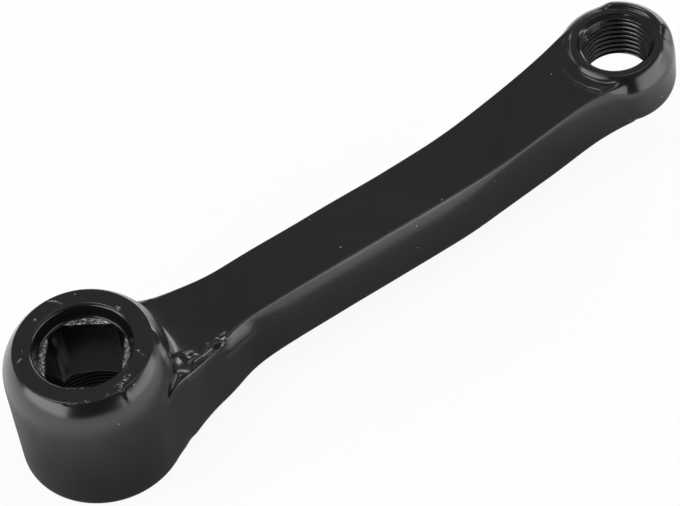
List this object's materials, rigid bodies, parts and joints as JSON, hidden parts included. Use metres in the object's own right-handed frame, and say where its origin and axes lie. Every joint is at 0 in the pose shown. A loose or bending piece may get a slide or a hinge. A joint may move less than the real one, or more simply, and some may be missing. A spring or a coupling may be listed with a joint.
{
  "type": "bicycle crank arm",
  "caption": "Short forged steel left crank arm, painted black, with a square-taper spindle boss at one end and a threaded pedal eye at the other.",
  "frame": {"origin": "on the spindle axis, in the plane of the boss's outer face, where the extractor thread opens", "axes": "+Z along the spindle axis towards the frame, +X from the spindle axis towards the pedal axis"},
  "size_m": [0.1465, 0.0308, 0.0283],
  "materials": {
    "paint": "semi-gloss black paint over forged and machined steel, with small chips at the machined edges"
  },
  "bodies": {
    "root": {"crank_arm": "paint"}
  },
  "joints": []
}
